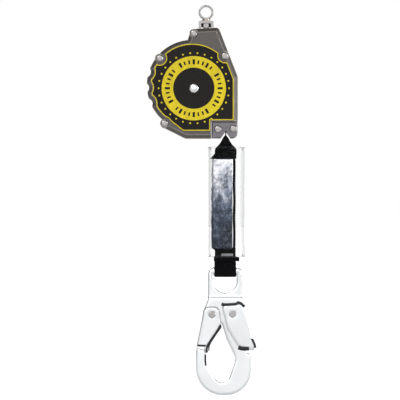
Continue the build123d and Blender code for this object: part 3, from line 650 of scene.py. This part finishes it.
# Webbing spread over the top of the pack, until it is as wide as the pack
stations = []
pack_middle = (pack_low.x + pack_high.x) / 2
for k in range(15):
    t = k / 14
    z = pack_high.z + 5.0 * MM - 6.4 * MM * t
    x = line_x + (pack_middle - line_x) * t
    stations.append((Vector((x, 0, z)), X, Y, (25.0 + 4.2 * t) * MM))
pack_shoulder = strap("pack_shoulder", stations, 8.0 * MM)
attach(pack_shoulder, "absorber")

# ------------------------------------------------------------ shock pack
wrap_low, wrap_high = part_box("pack_wrap")
side_low, side_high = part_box("side_web")

# Accordion-folded tear webbing: one strap running up and down, with round folds at both ends
layers = 8
pitch_y = (pack_high.y - pack_low.y - 1.2 * MM) / layers
fold_r = pitch_y / 2
web_x = (pack_low.x + pack_high.x) / 2
web_w = pack_high.x - pack_low.x - 0.6 * MM
top_z, bottom_z = pack_high.z - fold_r - 0.6 * MM, pack_low.z + fold_r + 0.6 * MM
stations = []
y = pack_low.y + 0.6 * MM + fold_r
for layer in range(layers):
    up = layer % 2 == 0
    first, last = (bottom_z, top_z) if up else (top_z, bottom_z)
    face = Y if up else -Y
    for k in range(9):
        stations.append((Vector((web_x, y, first + (last - first) * k / 8)), X, face, web_w))
    if layer < layers - 1:
        for k in range(1, 8):
            angle = math.pi * k / 8
            rise = fold_r * math.sin(angle) * (1 if up else -1)
            centre = Vector((web_x, y + fold_r * (1 - math.cos(angle)), last + rise))
            normal = Vector((0, math.cos(angle), -math.sin(angle) * (1 if up else -1)))
            stations.append((centre, X, normal if up else -normal, web_w))
    y += pitch_y
core = strap("folded_tear_webbing", stations, 1.35 * MM)
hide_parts("tear_web_core")
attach(core, "absorber")

side_x = (side_low.x + side_high.x) / 2
stations = []
for k in range(55):
    t = k / 54
    z = side_high.z + 0.8 * MM + (side_low.z - side_high.z - 1.6 * MM) * t
    wave = 0.35 * MM * math.sin(17 * t) * math.sin(math.pi * t)
    stations.append((Vector((side_x + wave, 0, z)), Y, X, side_high.y - side_low.y - 0.6 * MM))
side_strap = strap("side_strap", stations, 2.9 * MM)
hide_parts("side_web")
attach(side_strap, "absorber")
edge_y = side_low.y + 3.2 * MM
rows = [(Vector((side_high.x - 0.2 * MM, s * edge_y, side_high.z - 4 * MM)),
         Vector((side_high.x - 0.2 * MM, s * edge_y, side_low.z + 4 * MM)), X) for s in (1, -1)]
side_stitch = stitches("side_strap_stitching", rows, THREAD_DARK)
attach(side_stitch, "absorber")

# Film wrapped round three sides of the folded webbing, puffed and crinkled
film_rows, film_columns = 110, 64
corner_r = 2.6 * MM
left, right = wrap_low.x + corner_r, wrap_high.x - 0.2 * MM
front_y, back_y = wrap_low.y + corner_r, wrap_high.y - corner_r
lengths = [right - left, math.pi / 2 * corner_r, back_y - front_y, math.pi / 2 * corner_r, right - left]


def film_point(distance):
    """Point and outward normal, in plan, a distance along the film from its front right edge."""
    if distance <= lengths[0]:
        return Vector((right - distance, wrap_low.y)), Vector((0, -1))
    distance -= lengths[0]
    if distance <= lengths[1]:
        angle = -math.pi / 2 - distance / corner_r
        out = Vector((math.cos(angle), math.sin(angle)))
        return Vector((left, front_y)) + out * corner_r, out
    distance -= lengths[1]
    if distance <= lengths[2]:
        return Vector((wrap_low.x, front_y + distance)), Vector((-1, 0))
    distance -= lengths[2]
    if distance <= lengths[3]:
        angle = math.pi - distance / corner_r
        out = Vector((math.cos(angle), math.sin(angle)))
        return Vector((left, back_y)) + out * corner_r, out
    distance -= lengths[3]
    return Vector((left + distance, wrap_high.y)), Vector((0, 1))


outer, inner = [], []
total = sum(lengths)
for j in range(film_rows + 1):
    t = j / film_rows
    z = wrap_high.z + (wrap_low.z - wrap_high.z) * t
    for i in range(film_columns + 1):
        s = i / film_columns
        point, out = film_point(total * s)
        front_share = min(1.0, s * total / lengths[0])
        puff = 1.3 * MM * (1 - (2 * t - 1) ** 4) * abs(math.sin(math.pi * front_share)) ** 0.7
        if s * total > lengths[0]:
            puff = 0.5 * MM * (1 - (2 * t - 1) ** 4)
        place = Vector((point.x * 95, point.y * 95, z * 42))
        crease = noise.fractal(place, 0.75, 2.1, 4) * 1.25 * MM
        fine = abs(noise.noise(place * 3.1)) * 0.5 * MM
        rise = puff + crease * (0.35 + 0.65 * math.sin(math.pi * t)) - fine + 0.5 * MM
        outer.append((point.x + out.x * rise, point.y + out.y * rise, z))
        inner.append((point.x + out.x * (rise - 0.35 * MM), point.y + out.y * (rise - 0.35 * MM), z))
columns = film_columns + 1
count = len(outer)
faces = []
for j in range(film_rows):
    for i in range(film_columns):
        a = j * columns + i
        faces.append((a, a + 1, a + columns + 1, a + columns))
        faces.append((count + a, count + a + columns, count + a + columns + 1, count + a + 1))
    for i in (0, film_columns):
        a = j * columns + i
        faces.append((a, a + columns, count + a + columns, count + a))
for i in range(film_columns):
    for a in (i, film_rows * columns + i):
        faces.append((a, a + 1, count + a + 1, count + a))
mesh = mesh_of("film_wrap", outer + inner, faces)
film_wrap = link("film_wrap", mesh, MATERIALS["silver_film"])
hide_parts("pack_wrap")
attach(film_wrap, "absorber")

# Clear sleeve: a loose tube, flattened at its welded sides
sleeve_low, sleeve_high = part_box("clear_sleeve")
centre_x = (sleeve_low.x + sleeve_high.x) / 2
half_w, half_d = (sleeve_high.x - sleeve_low.x) / 2, (sleeve_high.y - sleeve_low.y) / 2


def sleeve_ring(t, shrink):
    """Closed outline of the sleeve at a share t of its length."""
    z = sleeve_high.z + (sleeve_low.z - sleeve_high.z) * t
    points = []
    for k in range(72):
        angle = 2 * math.pi * k / 72
        c, s = math.cos(angle), math.sin(angle)
        x = half_w * math.copysign(abs(c) ** 0.5, c)
        squeeze = 1 - 0.55 * max(0.0, (abs(x) / half_w - 0.72) / 0.28) ** 1.5
        y = half_d * math.copysign(abs(s) ** 0.6, s) * squeeze
        ripple = noise.noise(Vector((x * 40, y * 30, z * 26))) * 0.8 * MM
        pull = 0.6 * MM * math.sin(math.pi * t)
        length = max(1e-6, math.hypot(x, y))
        grow = ripple - pull - shrink
        points.append(Vector((centre_x + x + x / length * grow, y + y / length * grow, z)))
    return points


sleeve_steps = 60
sections = [sleeve_ring(k / sleeve_steps, 0.0) for k in range(sleeve_steps + 1)]
sections += [sleeve_ring(k / sleeve_steps, 0.55 * MM) for k in range(sleeve_steps, -1, -1)]
sleeve = sweep("vinyl_sleeve", sections, [(0.0, 0.0)] * (72 * len(sections)), closed=True,
               slot="clear_vinyl")
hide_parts("clear_sleeve")
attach(sleeve, "absorber")

# Rolled hems at both ends of the sleeve, and dark tacks at its four corners that are painted shadow,
# standing in for the shade in the corners
for end, t in (("top", 0.004), ("bottom", 0.996)):
    ring_points = sleeve_ring(t, 0.25 * MM)
    sections = []
    for k, point in enumerate(ring_points):
        before, after = ring_points[k - 1], ring_points[(k + 1) % len(ring_points)]
        side = (after - before).cross(Z).normalized()
        sections.append([point + side * (0.55 * MM * math.cos(a)) + Z * (0.9 * MM * math.sin(a))
                         for a in (2 * math.pi * i / 8 for i in range(8))])
    hem = sweep(f"sleeve_hem_{end}", sections, [(0.0, 0.0)] * (8 * len(sections)), closed=True,
                slot="clear_vinyl")
    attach(hem, "absorber")

corner_shadow_rows = []
for x in (sleeve_low.x + 2.6 * MM, sleeve_high.x - 2.6 * MM):
    for z in (sleeve_high.z - 2.2 * MM, sleeve_low.z + 2.2 * MM):
        for y in (-1, 1):
            depth = y * (half_d * 0.62)
            corner_shadow_rows.append((Vector((x, depth, z - 1.6 * MM)), Vector((x, depth, z + 1.6 * MM)), Y * y))
corner_shadow_tacks = stitches("sleeve_corner_shadows", corner_shadow_rows, THREAD_DARK, 1.2 * MM, 1.5 * MM, 0.7 * MM)
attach(corner_shadow_tacks, "absorber")

# ------------------------------------------------------------ strap, loop and keeper above the hook
strap_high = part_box("lower_strap")[1]
loop_low, loop_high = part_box("hook_loop")
keeper_low, keeper_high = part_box("loop_keeper")
strap_x = (loop_low.x + loop_high.x) / 2
bar_z = loop_low.z + (loop_high.y - loop_low.y) / 2
outer_r = (loop_high.y - loop_low.y) / 2
web_t = 1.25 * MM
ply_y = 0.72 * MM
middle_r = outer_r - web_t / 2

stations = []
for k in range(31):
    z = strap_high.z + 3.0 * MM + (loop_high.z - 1.0 * MM - strap_high.z - 3.0 * MM) * k / 30
    stations.append((Vector((strap_x, 0, z)), X, Y, 24.0 * MM))
for side in (-1, 1):
    run = [(c + Y * side * ply_y, a, n, w) for c, a, n, w in stations]
    lower = strap(f"lower_strap_{'front' if side < 0 else 'back'}", run, web_t)
    if side < 0:
        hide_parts("lower_strap")
    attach(lower, "absorber")

# Teardrop loop: both legs leave the strap, spread, and pass round the hook's bar
leg_top = loop_high.z


def leg_station(t, side):
    """Place on a leg, a share t of the way down from the strap to the bar, in front (-1) or behind (1)."""
    y = ply_y + (middle_r - ply_y) * (t * t * (3 - 2 * t))
    slope = (middle_r - ply_y) * 6 * t * (1 - t) / (leg_top - bar_z)
    z = leg_top + (bar_z - leg_top) * t
    return Vector((strap_x, side * y, z)), X, Vector((0, side, slope)).normalized(), 25.0 * MM


stations = [leg_station(k / 12, -1) for k in range(13)]
for k in range(1, 24):
    angle = math.pi * k / 24
    out = Vector((0, -math.cos(angle), -math.sin(angle)))
    stations.append((Vector((strap_x, 0, bar_z)) + out * middle_r, X, out, 25.0 * MM))
stations += [leg_station(1 - k / 12, 1) for k in range(13)]
loop_piece = strap("hook_loop_strap", stations, web_t)
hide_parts("hook_loop")
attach(loop_piece, "absorber")

# Keeper: a flat band round the strap, with its loose tab on the right
keeper_x = strap_x - 0.4 * MM
band_h = 6.0 * MM
band_z = keeper_low.z + band_h / 2
band_w, band_d = 12.4 * MM, 2.75 * MM
stations = []
path = []
for k in range(48):
    angle = 2 * math.pi * k / 48
    c, s = math.cos(angle), math.sin(angle)
    path.append(Vector((keeper_x + band_w * math.copysign(abs(c) ** 0.3, c),
                        band_d * math.copysign(abs(s) ** 0.55, s), band_z)))
for k, point in enumerate(path):
    direction = (path[(k + 1) % 48] - path[k - 1]).normalized()
    stations.append((point, Z, direction.cross(Z).normalized(), band_h))
keeper = strap("loop_keeper_band", stations, 0.8 * MM, closed=True)
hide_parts("loop_keeper")
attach(keeper, "absorber")
stations = []
for k in range(13):
    t = k / 12
    x = keeper_x + band_w - 1.0 * MM + (keeper_high.x - keeper_x - band_w + 1.0 * MM) * t
    stations.append((Vector((x, 0.5 * MM * math.sin(2 * t), band_z - 0.5 * MM * t * t)), Z, Y, 5.2 * MM))
tab = strap("loop_keeper_tab", stations, 1.6 * MM)
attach(tab, "absorber")


# ------------------------------------------------------------ painted shadow strips on the snap hook
# Black strips standing in for the shade on the gate's inner edge and end, on the nose, and on the lever's
# top, end and side
def shadow_strip(name, points, y_centre, depth, height, body):
    """Black strip of painted shadow along points given from the hook's bar, depth wide in Y, on one face or
    centred.
    """
    places = [Vector((strap_x + x * MM, y_centre * MM, bar_z + z * MM)) for x, z in points]
    stations = []
    for k, place in enumerate(places):
        along = (places[min(k + 1, len(places) - 1)] - places[max(k - 1, 0)]).normalized()
        stations.append((place, Y, along.cross(Y).normalized(), depth * MM))
    dark_strip = strap(name, stations, height * MM, material=MATERIALS["black_plastic"])
    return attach(dark_strip, body)


# Middles of the shadow strips in Y, in millimetres; each strip stands 0.2 to 0.5 mm proud of the face it
# lies on
gate_shadow_y, nose_shadow_y, lever_end_y, lever_top_y = 7.6, 6.1, 8.4, 8.5

shadow_strip("gate_inner_shadow_strip", [(-4.4, -63.6), (-7.6, -68.2), (-12.0, -74.6), (-16.6, -81.6), (-18.6, -86.0),
                              (-18.9, -91.6)], 0.0, 11.0, 1.5, "gate")
shadow_strip("lever_side_shadow", [(30.0, -77.0), (31.9, -80.6), (33.5, -84.4), (34.2, -88.0)],
         0.0, 19.6, 3.4, "lever")
for face, side in (("front", -1), ("back", 1)):
    shadow_strip(f"gate_inner_edge_shadow_{face}", [(-5.3, -61.6), (-7.8, -66.2), (-12.4, -73.2), (-17.0, -79.9),
                                        (-20.2, -84.8), (-21.4, -89.6), (-21.6, -93.2)],
             gate_shadow_y * side, 0.36, 4.4, "gate")
    shadow_strip(f"gate_end_shadow_{face}", [(-31.6, -84.6), (-29.4, -85.4), (-26.6, -85.4), (-22.0, -85.4)],
             gate_shadow_y * side, 0.36, 3.8, "gate")
    shadow_strip(f"nose_shadow_{face}", [(-22.6, -95.6), (-22.8, -99.6), (-22.7, -104.0), (-22.1, -108.6)],
             nose_shadow_y * side, 0.5, 3.4, "hook")
    shadow_strip(f"lever_end_shadow_{face}", [(15.2, -87.0), (18.4, -88.2), (22.6, -88.6), (27.4, -88.4)],
             lever_end_y * side, 2.6, 6.2, "lever")
    shadow_strip(f"lever_top_shadow_{face}", [(-4.2, -37.4), (-1.4, -38.6), (4.6, -38.4), (12.4, -37.8),
                                       (15.0, -36.0), (18.4, -37.4), (22.0, -40.8)],
             lever_top_y * side, 2.4, 3.9, "lever")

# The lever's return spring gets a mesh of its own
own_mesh(nodes["lever_spring"])

# Pale thread rows across the strap are a painted highlight, standing in for the bright band there; dark
# stitch rows run down its edges
highlight_band_z = strap_high.z - 5.6 * MM
rows = []
for side in (-1, 1):
    y = side * (ply_y + web_t / 2)
    for k in range(5):
        z = highlight_band_z + (k - 2) * 0.62 * MM
        rows.append((Vector((strap_x - 4.5 * MM, y, z)), Vector((strap_x + 9.0 * MM, y, z)), Y * side))
highlight_tack = stitches("strap_highlight_rows", rows, HIGHLIGHT_THREAD, 1.5 * MM, 1.35 * MM, 0.62 * MM)
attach(highlight_tack, "absorber")
rows = []
for side in (-1, 1):
    y = side * (ply_y + web_t / 2)
    for x in (-9.2 * MM, 9.2 * MM):
        rows.append((Vector((strap_x + x, y, strap_high.z + 1.0 * MM)),
                     Vector((strap_x + x, y, keeper_high.z + 0.6 * MM)), Y * side))
edge_stitch = stitches("strap_edge_stitching", rows, THREAD_DARK)
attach(edge_stitch, "absorber")
rows = []
for side in (-1, 1):
    for x in (-8.5 * MM, 0.0, 8.5 * MM):
        rows.append((Vector((line_x + x, side * 0.85 * MM, twist_end - 1.0 * MM)),
                     Vector((line_x + x, side * 0.85 * MM, pack_high.z + 0.5 * MM)), Y * side))
top_stitch = stitches("pack_top_stitching", rows, THREAD_DARK)
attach(top_stitch, "absorber")

# ------------------------------------------------------------ studio
low, high = Vector(cad_bounds[0]), Vector(cad_bounds[1])
floor_mesh = bpy.data.meshes.new("floor")
reach = 40.0
floor_z = low.z - 3.0 * MM
floor_mesh.from_pydata([(-reach, -reach, floor_z), (reach, -reach, floor_z),
                        (reach, reach, floor_z), (-reach, reach, floor_z)], [], [(0, 1, 2, 3)])
floor = bpy.data.objects.new("floor", floor_mesh)
bpy.context.scene.collection.objects.link(floor)
floor_look = Look("floor_pale", Roughness=0.9, Specular_IOR_Level=0.1, Emission_Color=(1, 1, 1, 1))
direct = floor_look.node("ShaderNodeLightPath")
floor_look.join(floor_look.math("MULTIPLY", direct.outputs["Is Camera Ray"], 0.75),
                floor_look.shader.inputs["Emission Strength"])
floor_look.colour(floor_look.ramp(floor_look.noise(3.0),
                                  [(0.0, (0.93, 0.93, 0.93)), (1.0, (0.96, 0.96, 0.96))]))
floor_mesh.materials.append(floor_look.material)

world = bpy.data.worlds.new("studio")
bpy.context.scene.world = world
world.use_nodes = True
tree = world.node_tree
background = tree.nodes["Background"]
source = tree.nodes.new("ShaderNodeTexCoord")
split = tree.nodes.new("ShaderNodeSeparateXYZ")
tree.links.new(source.outputs["Generated"], split.inputs["Vector"])
sky = tree.nodes.new("ShaderNodeValToRGB")
stops = sky.color_ramp.elements
stops[0].position, stops[0].color = 0.0, (0.10, 0.10, 0.105, 1)
stops[1].position, stops[1].color = 1.0, (1.55, 1.56, 1.57, 1)
for position, level in ((0.5, 0.18), (0.78, 0.95), (0.92, 1.5)):
    stop = stops.new(position)
    stop.color = (level, level, level * 1.01, 1)
front_share = tree.nodes.new("ShaderNodeMath")
front_share.operation = "ABSOLUTE"
tree.links.new(split.outputs["Y"], front_share.inputs[0])
tree.links.new(front_share.outputs["Value"], sky.inputs["Fac"])
seen = tree.nodes.new("ShaderNodeLightPath")
choice = tree.nodes.new("ShaderNodeMix")
choice.data_type = "RGBA"
tree.links.new(seen.outputs["Is Camera Ray"], choice.inputs["Factor"])
tree.links.new(sky.outputs["Color"], choice.inputs[6])
choice.inputs[7].default_value = (1.0, 1.0, 1.0, 1.0)
tree.links.new(choice.outputs[2], background.inputs["Color"])
background.inputs["Strength"].default_value = 1.0


def area_light(name, place, target, size, power):
    data = bpy.data.lights.new(name, "AREA")
    data.shape = "RECTANGLE"
    data.size, data.size_y = size
    data.energy = power
    light = bpy.data.objects.new(name, data)
    bpy.context.scene.collection.objects.link(light)
    light.location = place
    light.rotation_euler = (Vector(target) - Vector(place)).to_track_quat("-Z", "Y").to_euler()


middle = (low + high) / 2
area_light("key", (-0.7, -1.4, 0.9), middle, (0.6, 0.6), 7)
area_light("right", (1.5, -0.35, 0.05), middle, (0.35, 0.7), 9)
area_light("back", (0.4, 1.5, 0.6), middle, (0.9, 0.7), 8)

# ------------------------------------------------------------ camera: straight on to the front
camera_data = bpy.data.cameras.new("camera")
camera_data.lens = 500.0
camera_data.sensor_width = 36.0
camera = bpy.data.objects.new("camera", camera_data)
bpy.context.scene.collection.objects.link(camera)
view_width = 0.46
distance = view_width / 2 / math.tan(camera_data.angle / 2)
camera.location = (-0.007, -distance, -0.2156)
camera.rotation_euler = (math.pi / 2, 0, 0)
bpy.context.scene.camera = camera
bpy.context.scene.view_settings.view_transform = "Standard"
